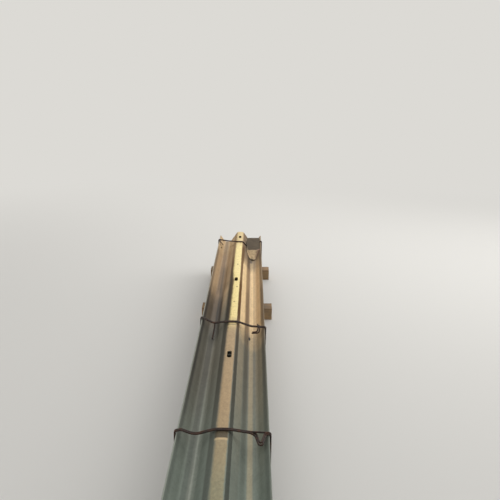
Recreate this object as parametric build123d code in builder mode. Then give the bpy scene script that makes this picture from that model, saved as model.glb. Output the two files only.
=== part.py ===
"""Bundle of two-wave highway guardrail sections, nested, wire-tied and lying on timber bearers.

Units are millimetres. The rails run along Y with their post-bolt crests up, X goes across the
bundle and Z is up. The origin is at the middle of the footprint, on the underside of the bearers.
"""
from build123d import *
from math import atan2, cos, hypot, radians, sin, tan
import os

# Rolled section of one rail, on the middle of the sheet and from its centre line outwards
SHEET = 4.0
CREST_HEIGHT = 79.0
CREST_HALF_FLAT = 21.0
VALLEY_IN = 76.0
VALLEY_OUT = 118.0
LIP_START = 151.0
HALF_WIDTH = 156.0
LIP_RISE = 25.0
WAVE_RADIUS = 25.0
LIP_RADIUS = 8.0

# Length of one rail and its slots
RAIL_LENGTH = 4320.0
POST_SLOT_FROM_END = 160.0
POST_SLOTS = 5
POST_SLOT_WIDTH = 19.0
POST_SLOT_LENGTH = 64.0
SPLICE_SLOT_WIDTH = 18.0
SPLICE_SLOT_LENGTH = 29.0
SPLICE_FROM_END = (52.0, 268.0)

# The nest of rails, and how far each nested one is shifted along, over and over from the top one down
RAILS = 24
NEST_GAP = 0.3
STAGGER = (9.0, -6.0, 12.0, -3.0, 6.0, -12.0, 3.0, 0.0)
FLAT_LENGTH = 8.0

# Timber bearers under the valleys, each at a distance from the far end, 1, or the near end, -1
BEARER_WIDTH = 98.0
BEARER_HEIGHT = 75.0
BEARER_LENGTH = 440.0
BEARER_CHAMFER = 3.0
BEARERS = {
    "bearer_near_end": (-1, 120.0),
    "bearer_near": (-1, 915.0),
    "bearer_far": (1, 915.0),
    "bearer_far_end": (1, 120.0),
}

# Wire ties, each of two strands side by side and a little askew: the end that a tie is measured
# from, and its distances from it at the left edge, at the crest, at the right edge and under the rails
TIES = {
    "tie_far": (1, 150.0, 310.0, 180.0, 190.0),
    "tie_mid_far": (1, 1690.0, 1811.0, 1806.0, 1748.0),
    "tie_mid_near": (1, 2696.0, 2728.0, 2704.0, 2700.0),
    "tie_near": (-1, 670.0, 640.0, 656.0, 663.0),
}
# Height over the valleys to which each tie sags in the left and the right groove
TIE_SAGS = {
    "tie_far": (68.0, 68.0),
    "tie_mid_far": (50.0, 55.0),
    "tie_mid_near": (49.0, 49.0),
    "tie_near": (49.0, 49.0),
}
# Reach of the V-shaped loop that each tie was tightened by
TIE_LOOPS = {"tie_far": 0.0, "tie_mid_far": 34.0, "tie_mid_near": 68.0, "tie_near": 50.0}
WIRE = 6.5
WIRE_SIDES = 6
WIRE_GAP = 0.3
EDGE_GAP = 0.8
EDGE_BEND = 3.0
SAG_X = 92.0
SAG_BEND = 24.0
CREST_BEND = 15.0
PRESSED_DROP = 37.5
PRESSED_BEND = 12.0
UNDER_BEND = 16.0
LOOP_X = 127.0
LOOP_HALF_WIDTH = 15.0
LOOP_HEIGHT = 54.0
LOOP_DROP = 4.0
LOOP_BEND = 6.5

# Blank tag that lies on the far tie over the right groove and presses the wires down beside the crest
TAG_WIDTH = 92.0
TAG_LENGTH = 285.0
TAG_SHEET = 1.5
TAG_PITCH = 3.2
TAG_PAST_TIE = 173.0
TAG_PAST_BEND = 3.0
TAG_GAP = 1.4

FLANK = atan2(CREST_HEIGHT, VALLEY_IN - CREST_HALF_FLAT)
NEST_PITCH = (SHEET + NEST_GAP) / cos(FLANK)
LIP = radians(LIP_RISE)
LIP_START_HEIGHT = (LIP_START - VALLEY_OUT) * tan(FLANK)
EDGE_X = HALF_WIDTH - SHEET / 2 * sin(LIP)
EDGE_HEIGHT = LIP_START_HEIGHT + (EDGE_X - LIP_START) * tan(LIP)
BOTTOM_LEVEL = BEARER_HEIGHT + SHEET / 2
TOP_LEVEL = BOTTOM_LEVEL + (RAILS - 1) * NEST_PITCH
WIRE_CLEAR = WIRE / 2 + WIRE_GAP
WIRE_CREST_X = CREST_HALF_FLAT + (SHEET / 2 + WIRE_CLEAR) * tan(FLANK / 2)
WIRE_CREST_Z = TOP_LEVEL + CREST_HEIGHT + SHEET / 2 + WIRE_CLEAR
POST_PITCH = (RAIL_LENGTH - 2 * POST_SLOT_FROM_END) / (POST_SLOTS - 1)


def wave():
    """Corners of the section's middle line from its left edge to its right edge, with their bends."""
    right = [
        (CREST_HALF_FLAT, CREST_HEIGHT, WAVE_RADIUS),
        (VALLEY_IN, 0, WAVE_RADIUS),
        (VALLEY_OUT, 0, WAVE_RADIUS),
        (LIP_START, LIP_START_HEIGHT, LIP_RADIUS),
        (EDGE_X, EDGE_HEIGHT, 0),
    ]
    left = [(-x, z, bend) for x, z, bend in reversed(right)]
    return [(Vector(x, z), bend) for x, z, bend in left + right]


def sheet_face(side):
    """Corners and bends of the sheet's upper face, side 1, or lower face, side -1."""
    middle = wave()
    steps = [(after - before).normalized() for (before, _), (after, _) in zip(middle, middle[1:])]
    before_steps = [steps[0]] + steps
    after_steps = steps + [steps[-1]]
    face = []
    for (corner, bend), before, after in zip(middle, before_steps, after_steps):
        outward = Vector(-before.Y - after.Y, before.X + after.X).normalized()
        lean = outward.dot(Vector(-before.Y, before.X))
        convex = side if before.cross(after).Z < 0 else -side
        moved = corner + outward * (side * SHEET / 2 / lean)
        face.append((moved, bend + convex * SHEET / 2))
    return face


def bent(corners):
    """Points of a line bent at its corners, each bend made of flats of about FLAT_LENGTH."""
    points = [corners[0][0]]
    for (before, _), (corner, bend), (after, _) in zip(corners, corners[1:], corners[2:]):
        inward = (before - corner).normalized()
        onward = (after - corner).normalized()
        turn = radians(180 - inward.get_angle(onward))
        centre = corner + (inward + onward).normalized() * (bend / cos(turn / 2))
        start = corner + inward * (bend * tan(turn / 2)) - centre
        end = corner + onward * (bend * tan(turn / 2)) - centre
        flats = max(1, round(bend * turn / FLAT_LENGTH))
        for step in range(flats + 1):
            part_turn = turn * step / flats
            along = start * (sin(turn - part_turn) / sin(turn)) + end * (sin(part_turn) / sin(turn))
            points.append(centre + along)
    return points + [corners[-1][0]]


def post_slot_places():
    first = POST_SLOT_FROM_END - RAIL_LENGTH / 2
    return [(0, first + POST_PITCH * index) for index in range(POST_SLOTS)]


def splice_slot_places():
    """Middles of the splice slots along the rail, two rows at each end."""
    near = [distance - RAIL_LENGTH / 2 for distance in SPLICE_FROM_END]
    return near + [-y for y in near]


def flank_planes(level):
    """A plane over each of the four flanks, at mid height, with its X across the slope."""
    inner_x = (CREST_HALF_FLAT + VALLEY_IN) / 2
    outer_x = (VALLEY_OUT + LIP_START) / 2
    inner_z = CREST_HEIGHT / 2
    outer_z = LIP_START_HEIGHT / 2
    planes = []
    for x, z, slope in ((inner_x, inner_z, -FLANK), (outer_x, outer_z, FLANK)):
        for side in (1, -1):
            across = (cos(slope), 0, side * sin(slope))
            normal = (-side * sin(slope), 0, cos(slope))
            flank = Plane(origin=(side * x, 0, level + z), x_dir=across, z_dir=normal)
            planes.append(flank.offset(SHEET))
    return planes


def end_plane(level, shift):
    """The plane of a rail's near end, with X across and Y up."""
    return Plane(origin=(0, shift - RAIL_LENGTH / 2, level), x_dir=(1, 0, 0), z_dir=(0, -1, 0))


def make_top_rail():
    """The rail that shows: round bends, its post slots, and the splice slots on its flanks."""
    with BuildPart() as rail:
        with BuildSketch(end_plane(TOP_LEVEL, 0)):
            with BuildLine():
                FilletPolyline(*[corner for corner, _ in wave()], radius=[bend for _, bend in wave()[1:-1]])
            trace(line_width=SHEET)
        extrude(amount=-RAIL_LENGTH)
        with BuildSketch(Plane.XY.offset(TOP_LEVEL + CREST_HEIGHT + SHEET)):
            with Locations(*post_slot_places()):
                SlotOverall(POST_SLOT_LENGTH, POST_SLOT_WIDTH, rotation=90)
        extrude(amount=-2 * SHEET, mode=Mode.SUBTRACT)
        with BuildSketch(*flank_planes(TOP_LEVEL)):
            with Locations(*[(0, y) for y in splice_slot_places()]):
                SlotOverall(SPLICE_SLOT_LENGTH, SPLICE_SLOT_WIDTH, rotation=90)
        extrude(amount=-2 * SHEET, mode=Mode.SUBTRACT)
    return rail


def make_nested_rail(level, shift):
    """A rail under the top one, drawn lighter: its bends are flats and its hidden slots are left out."""
    with BuildPart() as rail:
        with BuildSketch(end_plane(level, shift)):
            with BuildLine():
                upper = Polyline(*bent(sheet_face(1)))
                lower = Polyline(*bent(sheet_face(-1)))
                Line(upper @ 0, lower @ 0)
                Line(upper @ 1, lower @ 1)
            make_face()
        extrude(amount=-RAIL_LENGTH)
    return rail


def make_bearer(y):
    with BuildPart() as bearer:
        with BuildSketch(Plane.XY):
            with Locations((0, y)):
                Rectangle(BEARER_LENGTH, BEARER_WIDTH)
        extrude(amount=BEARER_HEIGHT)
        chamfer(bearer.edges().filter_by(Axis.X).group_by(Axis.Z)[-1], length=BEARER_CHAMFER)
    return bearer


def half_tie(tie, side):
    """Corners of the left half, side -1, or right half, side 1, of a tie's middle line, and its bends.

    They are in X, taken as positive, and Z, from below to the crest. The wire runs under the
    valleys, up past the edges of the rails, over the top rail's lip, sags into its groove and climbs
    over its crest. Under the tag it is pressed down along the crest's flank.
    """
    edge = HALF_WIDTH + EDGE_GAP + WIRE / 2
    lip_top = TOP_LEVEL + EDGE_HEIGHT + SHEET / 2 + EDGE_GAP + WIRE / 2
    sag = (SAG_X, TOP_LEVEL + TIE_SAGS[tie][side > 0], SAG_BEND)
    if tie == "tie_far" and side > 0:
        sag = (WIRE_CREST_X + PRESSED_DROP / tan(FLANK), WIRE_CREST_Z - PRESSED_DROP, PRESSED_BEND)
    return [
        (VALLEY_OUT + WIRE_CLEAR, BEARER_HEIGHT - WIRE_CLEAR, UNDER_BEND),
        (edge, BOTTOM_LEVEL + LIP_START_HEIGHT - WIRE, EDGE_BEND),
        (edge, lip_top, EDGE_BEND),
        sag,
        (WIRE_CREST_X, WIRE_CREST_Z, CREST_BEND),
    ]


def strand_step(tie):
    """How far each strand lies from the middle of its tie, along Y, so that askew ones clear too."""
    _, left, crest, right, _ = TIES[tie]
    askew = max(abs(left - crest), abs(right - crest)) / (HALF_WIDTH - WIRE_CREST_X)
    return (WIRE + WIRE_GAP) / 2 * hypot(1, askew)


def strand_corners(tie, shift, loop_reach):
    """Corners and bends of one strand, from its one end under the bundle round to the other."""
    end, *from_end = TIES[tie]
    left_y, crest_y, right_y, under_y = [end * (RAIL_LENGTH / 2 - place) + shift for place in from_end]
    under_z = BEARER_HEIGHT - WIRE_CLEAR

    def on_top(x, z, edge_y):
        askew = max(abs(x) - WIRE_CREST_X, 0) / (HALF_WIDTH - WIRE_CREST_X)
        return Vector(x, crest_y + (edge_y - crest_y) * askew, z)

    half = half_tie(tie, 1)
    right = [(Vector(x, under_y, z), bend) for x, z, bend in half[:2]]
    right += [(on_top(x, z, right_y), bend) for x, z, bend in half[2:]]
    half = half_tie(tie, -1)
    left = [(on_top(-x, z, left_y), bend) for x, z, bend in reversed(half[2:])]
    left += [(Vector(-x, under_y, z), bend) for x, z, bend in reversed(half[:2])]
    if loop_reach:
        over_groove = TOP_LEVEL + LOOP_HEIGHT
        loop = [
            on_top(LOOP_X + LOOP_HALF_WIDTH, over_groove, right_y),
            on_top(LOOP_X, over_groove, right_y) - Vector(0, loop_reach, LOOP_DROP),
            on_top(LOOP_X - LOOP_HALF_WIDTH, over_groove, right_y),
        ]
        right[3:3] = [(corner, LOOP_BEND) for corner in loop]
    first, last = [(Vector(side * WIRE_GAP, under_y, under_z), 0) for side in (1, -1)]
    return [first] + right + left + [last]


def make_tie(name):
    with BuildPart() as tie:
        for shift, loop_reach in ((-strand_step(name), TIE_LOOPS[name]), (strand_step(name), 0)):
            with BuildLine() as middle:
                Polyline(*bent(strand_corners(name, shift, loop_reach)))
            with BuildSketch(Plane(origin=middle.line @ 0, x_dir=(0, 0, 1), z_dir=middle.line % 0)):
                RegularPolygon(WIRE / 2, WIRE_SIDES)
            sweep(path=middle.line, transition=Transition.RIGHT)
    return tie


def make_tag():
    """A stiff blank tag that lies on the far tie, along the wire from its bend beside the crest."""
    pitch = radians(TAG_PITCH)
    strand = strand_corners("tie_far", -strand_step("tie_far"), 0)
    lip_corner, pressed_corner = strand[3][0], strand[4][0]
    wire = lip_corner - pressed_corner
    roll = atan2(wire.Z - wire.Y * tan(pitch), wire.X)
    normal = Vector(-tan(roll), -tan(pitch), 1).normalized()
    seat = pressed_corner + normal * (WIRE / 2 + TAG_GAP)
    with BuildPart() as tag:
        with BuildSketch(Plane(origin=seat, x_dir=(cos(roll), 0, sin(roll)), z_dir=normal)):
            with Locations((TAG_PAST_BEND, TAG_PAST_TIE)):
                Rectangle(TAG_WIDTH, TAG_LENGTH, align=(Align.MIN, Align.MAX))
        extrude(amount=TAG_SHEET)
    return tag


def write(builder, name):
    builder.part.label = name
    export_step(builder.part, f"parts/{name}.step")


os.makedirs("parts", exist_ok=True)

write(make_top_rail(), f"rail_{RAILS:02d}")
for down in range(1, RAILS):
    shift = STAGGER[(down - 1) % len(STAGGER)]
    write(make_nested_rail(TOP_LEVEL - down * NEST_PITCH, shift), f"rail_{RAILS - down:02d}")

for name, (end, from_end) in BEARERS.items():
    write(make_bearer(end * (RAIL_LENGTH / 2 - from_end)), name)

for name in TIES:
    write(make_tie(name), name)

write(make_tag(), "tag_card")
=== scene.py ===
"""Dresses a wire-tied bundle of guardrail sections around its packed model.

The rails are rolled from flat slotted blanks, the ties are bent from doubled wire, and the bearers and the
blank card get the wear of a yard. Sizes are in metres, in the packed model's own frame: the rails run
along Y, with their post-bolt crests up.
"""
import math

import bpy
import numpy as np
from bpy.props import FloatProperty, FloatVectorProperty, IntProperty, PointerProperty
from mathutils import Matrix, Vector


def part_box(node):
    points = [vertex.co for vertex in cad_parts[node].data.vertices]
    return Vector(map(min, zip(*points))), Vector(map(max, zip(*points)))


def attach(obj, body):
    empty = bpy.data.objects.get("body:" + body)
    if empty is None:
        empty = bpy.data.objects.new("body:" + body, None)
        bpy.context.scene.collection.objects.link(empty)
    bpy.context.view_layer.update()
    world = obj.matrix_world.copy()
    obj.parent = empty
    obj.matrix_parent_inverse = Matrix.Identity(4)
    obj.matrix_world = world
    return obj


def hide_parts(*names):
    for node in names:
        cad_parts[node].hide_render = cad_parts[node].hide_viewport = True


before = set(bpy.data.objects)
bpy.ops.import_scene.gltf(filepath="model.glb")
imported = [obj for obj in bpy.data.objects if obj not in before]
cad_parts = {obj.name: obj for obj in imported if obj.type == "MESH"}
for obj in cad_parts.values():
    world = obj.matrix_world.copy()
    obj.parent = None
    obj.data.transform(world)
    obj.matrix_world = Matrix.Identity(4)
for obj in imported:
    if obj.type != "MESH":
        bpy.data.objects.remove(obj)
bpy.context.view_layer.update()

bl_info = {
    "name": "Guardrail Bundle",
    "version": (1, 0, 0),
    "blender": (4, 5, 0),
    "location": "3D View > Sidebar > Guardrail",
    "description": "Rolls, ties and weathers a bundle of two-wave guardrail sections",
    "category": "Add Mesh",
}

RAILS = sorted(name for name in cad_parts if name.startswith("rail_"))
BEARERS = sorted(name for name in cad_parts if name.startswith("bearer_"))
TOP_RAIL = RAILS[-1]
BODY = "root"
MM = 0.001
# Width of the photograph in pixels, and of the camera's sensor in millimetres
PIXELS, SENSOR = 500, 36
# Angle in degrees from which the edges of a piece are sharp, by its slot
SHARP = {"galvanised_steel": 35, "rusty_wire": 50, "bearer_timber": 30, "tag_fibre": 40}
# Steps of the arc in each bend of the rails' profile and of the wire, and the wire's number of sides
PROFILE_STEPS, WIRE_STEPS, WIRE_SIDES = 10, 6, 10


def linear(code):
    """A colour written as six hex digits, as linear red, green and blue."""
    parts = [int(code[i:i + 2], 16) / 255 for i in (0, 2, 4)]
    return tuple(part / 12.92 if part <= 0.04045 else ((part + 0.055) / 1.055) ** 2.4 for part in parts)


def properties(rows, kind, convert, **common):
    """Properties from rows of (default, description), each named after its key."""
    return {key: kind(name=key.replace("_", " ").capitalize(), description=about,
                      default=convert(value), **common)
            for key, (value, about) in rows.items()}


def lengths(**rows):
    """Lengths whose defaults are written in millimetres."""
    return properties(rows, FloatProperty, lambda size: size * MM, min=0, unit="LENGTH", precision=4)


def angles(**rows):
    """Angles whose defaults are written in degrees."""
    return properties(rows, FloatProperty, math.radians, subtype="ANGLE")


def colours(**rows):
    """Colours whose defaults are written as six hex digits."""
    return properties(rows, FloatVectorProperty, linear, size=3, min=0, max=1, subtype="COLOR")


class RailSizes(bpy.types.PropertyGroup):
    """The rolled section, its slots and how evenly it was rolled"""
    __annotations__ = lengths(
        sheet=(4, "Thickness of the steel sheet"),
        crest_height=(79, "Rise of the crest over the valleys"),
        crest_half_flat=(21, "From the middle to the crest's corner"),
        valley_in=(76, "From the middle to the valley's inner corner"),
        valley_out=(118, "From the middle to the valley's outer corner"),
        lip_start=(151, "From the middle to the lip's corner"),
        half_width=(156, "From the middle to the rail's edge"),
        wave_radius=(25, "Bend radius at the crest and valleys"),
        lip_radius=(8, "Bend radius at the lips"),
        post_slot_width=(19, "Width of a post slot"),
        post_slot_length=(64, "Length of a post slot"),
        post_slot_from_end=(160, "From a rail's end to its first post slot"),
        splice_slot_width=(18, "Width of a splice slot"),
        splice_slot_length=(29, "Length of a splice slot"),
        splice_near=(52, "From a rail's end to its first row of splice slots"),
        splice_far=(268, "From a rail's end to its second row of splice slots"),
        slot_rim=(2.5, "Narrow ring of mesh around each slot"),
        lip_wave=(1.1, "How far the lips stray up and down"),
        sway=(1.5, "How far the whole nest strays from straight"),
        end_gap=(0.02, "How much each end falls short of the packed rail"),
    ) | angles(lip_rise=(25, "Slope of the lips")) | {
        "post_slots": IntProperty(name="Post slots", description="Number of post slots", default=5, min=2,
                                  subtype="UNSIGNED"),
    }


class TieSizes(bpy.types.PropertyGroup):
    """The wire ties and the way they were bent over the bundle"""
    __annotations__ = lengths(
        wire=(6.5, "Diameter of the wire"),
        gap=(0.3, "Clearance of the wire from what it lies on"),
        edge_gap=(0.8, "Clearance of the wire from the rails' edges"),
        edge_bend=(7, "Bend radius over an edge"),
        sag_place=(92, "Where the wire hangs lowest, from the middle"),
        sag_bend=(60, "Bend radius where the wire hangs lowest"),
        crest_bend=(20, "Bend radius over the crest"),
        under_bend=(16, "Bend radius under the bundle"),
        loop_place=(126, "From the middle to a tightening loop"),
        loop_half_width=(18, "Half the width of a tightening loop"),
        loop_height=(54, "Height of a loop over the valleys"),
        loop_drop=(4, "How much lower the loop's tip lies"),
        loop_bend=(7, "Bend radius in a loop"),
        pressed_drop=(37.5, "How far the card presses the wire down from the crest"),
        pressed_bend=(12, "Bend radius where the card presses the wire down"),
        spring_in=(23, "From a tie's side to where it springs up over a lip"),
        spring_bend=(14, "Bend radius where a tie springs up"),
        stray=(1, "How far the wire strays from its line"),
        step=(4, "Spacing of the mesh along the wire"),
    )


class BearerSizes(bpy.types.PropertyGroup):
    """The timber bearers"""
    __annotations__ = lengths(
        wane=(3, "Chamfer along the upper edges"),
        roughness=(1.4, "Depth of the sawn faces' unevenness"),
        cell=(11, "Spacing of the mesh on a sawn face"),
    )


class CardSizes(bpy.types.PropertyGroup):
    """The blank card on the far tie"""
    __annotations__ = lengths(
        width=(92, "Width of the card"),
        length=(285, "Length of the card"),
        thickness=(1.3, "Thickness of the card"),
        corner=(13, "Radius of its far corners"),
        curl=(2.2, "How far it curls"),
        flap_length=(118, "Length of the peeled flap that sags into the groove"),
        flap_tip=(27, "Half the width of the flap's tip"),
    )


class Finishes(bpy.types.PropertyGroup):
    """Colours of the steel, the wire, the timber and the card"""
    __annotations__ = colours(
        zinc_near=("848d82", "Dull zinc at the near end"),
        zinc_middle=("7b7769", "Dull zinc towards the middle"),
        # Painted warm light: the zinc as it shows where warm light falls on the far end
        zinc_far=("c3a57f", "Zinc under sandy dust at the far end"),
        # Rubbed crest with a painted highlight of the light it reflects, from the near end to the far end
        crest_near=("979276", "Rubbed crest at the near end"),
        crest_middle=("b29874", "Rubbed crest towards the middle"),
        crest_far=("ffe9a4", "Rubbed crest at the far end"),
        # Painted light: the right flank, the right groove and the far end where light falls on them, and a
        # thin painted highlight on the crest
        lit=("f9daa6", "Rubbed flank and groove on the right"),
        # Painted shade beside the crest and nearer than the ties; also the dark specks of dirt
        grime=("2e2b23", "Grime beside the crest"),
        # Brown for dirt, specks and the browner left groove; painted shade beside the crest at the far end
        brown_grime=("624322", "Grime beside the crest at the far end"),
        # Painted shade over the right side towards the far end
        stain=("7d6a54", "Brown stain at the far end of the right groove"),
        # Dark spots in the right groove
        drip=("1d1915", "Drip marks in the right groove"),
        # Pale sheared steel; also used as a painted highlight along the left lip and the left groove
        edge=("a4a89c", "Sheared edge of the sheet"),
        # Sheared edge under the painted warm light at the far end
        edge_far=("a08c6c", "Sheared edge of the sheet at the far end"),
        rust=("5b3a28", "Bright rust on the wire"),
        old_rust=("31251f", "Dark rust on the wire"),
        pits=("1f1714", "Pits in the rust"),
        timber=("9c8160", "Fresh face of the timber"),
        late_wood=("6e4a2b", "Rings of the timber"),
        pale_grain=("c09a68", "Pale grain of the timber"),
        grey_timber=("706657", "Weathered face of the timber"),
        card=("574c3e", "Face of the card"),
        card_wear=("6f624f", "Rubbed places of the card"),
        card_specks=("3c352e", "Specks on the card"),
        card_inside=("dcc29a", "Pale layer of the card where it has peeled"),
        card_stain=("8d7462", "Stain on the peeled flap"),
        # Dark tip of the peeled flap: soil, and painted shade where it curls
        card_tip=("40372b", "Soiled tip of the peeled flap"),
    )


class StageSizes(bpy.types.PropertyGroup):
    """The camera and the floor"""
    __annotations__ = angles(
        pitch=(15.5, "How far the camera looks down"),
        yaw=(0.19, "How far the camera looks to the left"),
        roll=(0.72, "How far the camera leans"),
    ) | colours(floor=("dcdad5", "Floor and backdrop")) | {
        "focal_length": FloatProperty(name="Focal length", description="In pixels of the photograph",
                                      default=590, min=1, subtype="PIXEL"),
        "camera": FloatVectorProperty(name="Camera", size=3, unit="LENGTH",
                                      description="Its place, with its height over the top rail's valleys",
                                      default=(0.0892, -2.2681, 1.16396)),
    }


GROUPS = {"rails": RailSizes, "ties": TieSizes, "bearers": BearerSizes, "card": CardSizes,
          "finishes": Finishes, "stage": StageSizes}


class BundleSettings(bpy.types.PropertyGroup):
    """All the sizes and colours of the bundle"""
    __annotations__ = {key: PointerProperty(name=key.capitalize(), description=group.__doc__, type=group)
                       for key, group in GROUPS.items()}


def settings():
    return bpy.context.scene.guardrail_bundle


def both_ways(operation):
    """An operator that adds a Math node, and its reflected form."""
    return (lambda self, value: self.math(operation, self, value),
            lambda self, value: self.math(operation, value, self))


class Socket:
    """An output of a node, so that node maths reads as plain Python."""

    def __init__(self, graph, socket):
        self.graph = graph
        self.socket = socket

    def math(self, operation, *values):
        return self.graph.node("ShaderNodeMath", dict(enumerate(values)), operation=operation)

    __add__, __radd__ = both_ways("ADD")
    __sub__, __rsub__ = both_ways("SUBTRACT")
    __mul__, __rmul__ = both_ways("MULTIPLY")
    __truediv__, __rtruediv__ = both_ways("DIVIDE")

    def __abs__(self):
        return self.math("ABSOLUTE", self)

    def __getitem__(self, name):
        """Another output of the same node."""
        return Socket(self.graph, self.socket.node.outputs[name])

    def split(self):
        """The three parts of a vector."""
        x = self.graph.node("ShaderNodeSeparateXYZ", {0: self})
        return x, x["Y"], x["Z"]

    def step(self, low, high):
        """Goes smoothly from 0 at low to 1 at high."""
        ends = {"Value": self, "From Min": low, "From Max": high}
        return self.graph.node("ShaderNodeMapRange", ends, interpolation_type="SMOOTHSTEP")

    def band(self, middle, half_width, soft):
        """Is 1 within half_width of middle and fades out over soft."""
        return 1 - abs(self - middle).step(half_width, half_width + soft)

    def towards(self, other, share):
        return self + (other - self) * share


class Graph:
    """Adds nodes to a shader or geometry tree."""

    def __init__(self, tree):
        self.tree = tree

    def node(self, kind, inputs=None, output=0, **setup):
        """A node with its settings made first, then the values or links of its inputs."""
        made = self.tree.nodes.new(kind)
        for name, value in setup.items():
            setattr(made, name, value)
        for key, value in (inputs or {}).items():
            target = made.inputs[key]
            if isinstance(value, Socket):
                self.tree.links.new(value.socket, target)
            else:
                target.default_value = (*value, 1) if target.type == "RGBA" else value
        return Socket(self, made.outputs[output]) if made.outputs else None

    def vector(self, x, y, z):
        return self.node("ShaderNodeCombineXYZ", {"X": x, "Y": y, "Z": z})

    def noise(self, vector, scale=1.0, detail=2.0, rough=0.5, output=0, **seed):
        inputs = {"Vector": vector, "Scale": scale, "Detail": detail, "Roughness": rough, **seed}
        return self.node("ShaderNodeTexNoise", inputs, output, noise_dimensions="4D" if seed else "3D")

    def attribute(self, name):
        """A number stored on the mesh, in a shader."""
        return self.node("ShaderNodeAttribute", output=2, attribute_name=name)

    def stored(self, name):
        """A number stored on the mesh, in a geometry tree."""
        return self.node("GeometryNodeInputNamedAttribute", {"Name": name})

    def mix(self, share, first, second, blend="MIX"):
        return self.node("ShaderNodeMix", {0: share, 6: first, 7: second}, output=2,
                         data_type="RGBA", blend_type=blend, clamp_factor=True)

    def coats(self, base, *coats):
        """A base colour under coats of (share, colour), laid on in order."""
        for share, colour in coats:
            base = self.mix(share, base, colour)
        return base

    def toned(self, colour, tone):
        return self.mix(1.0, colour, self.vector(tone, tone, tone), "MULTIPLY")

    def bump(self, height, strength, distance):
        return self.node("ShaderNodeBump", {"Height": height, "Strength": strength, "Distance": distance})

    def surface(self, colour, roughness, **inputs):
        return self.node("ShaderNodeBsdfPrincipled", {"Base Color": colour, "Roughness": roughness, **inputs})

    def backed(self, lit, plain, share=1.0):
        """A shader that gives way to a plain one where the camera or a reflection sees it."""
        path = self.node("ShaderNodeLightPath")
        seen = path.math("MAXIMUM", path, path["Is Glossy Ray"])
        return self.node("ShaderNodeMixShader", {0: seen * share, 1: lit, 2: plain})


def uneven(level, *patterns):
    """A level with patterns of (noise, strength) that lift and lower it."""
    return sum(((noise - 0.5) * strength for noise, strength in patterns), level)


def shade(name, build):
    """A material whose shader comes from build(graph, place on the object, colours)."""
    material = bpy.data.materials.new(name)
    material.use_nodes = True
    material.node_tree.nodes.clear()
    graph = Graph(material.node_tree)
    place = graph.node("ShaderNodeTexCoord", output=3)
    graph.node("ShaderNodeOutputMaterial", {"Surface": build(graph, place, settings().finishes)})
    return material


# Marks on the top rail: (distance across the sheet, place along the rail, reach across, reach along)
FAR_SPOT = (0.121, 1.610, 0.014, 0.050)
MARK = (0.119, 0.330, 0.0075, 0.026)
DOTS = ((0.002, 1.297, 0.006, 0.016), (0.008, 0.865, 0.006, 0.014), (0.000, 0.629, 0.006, 0.012))


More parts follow.
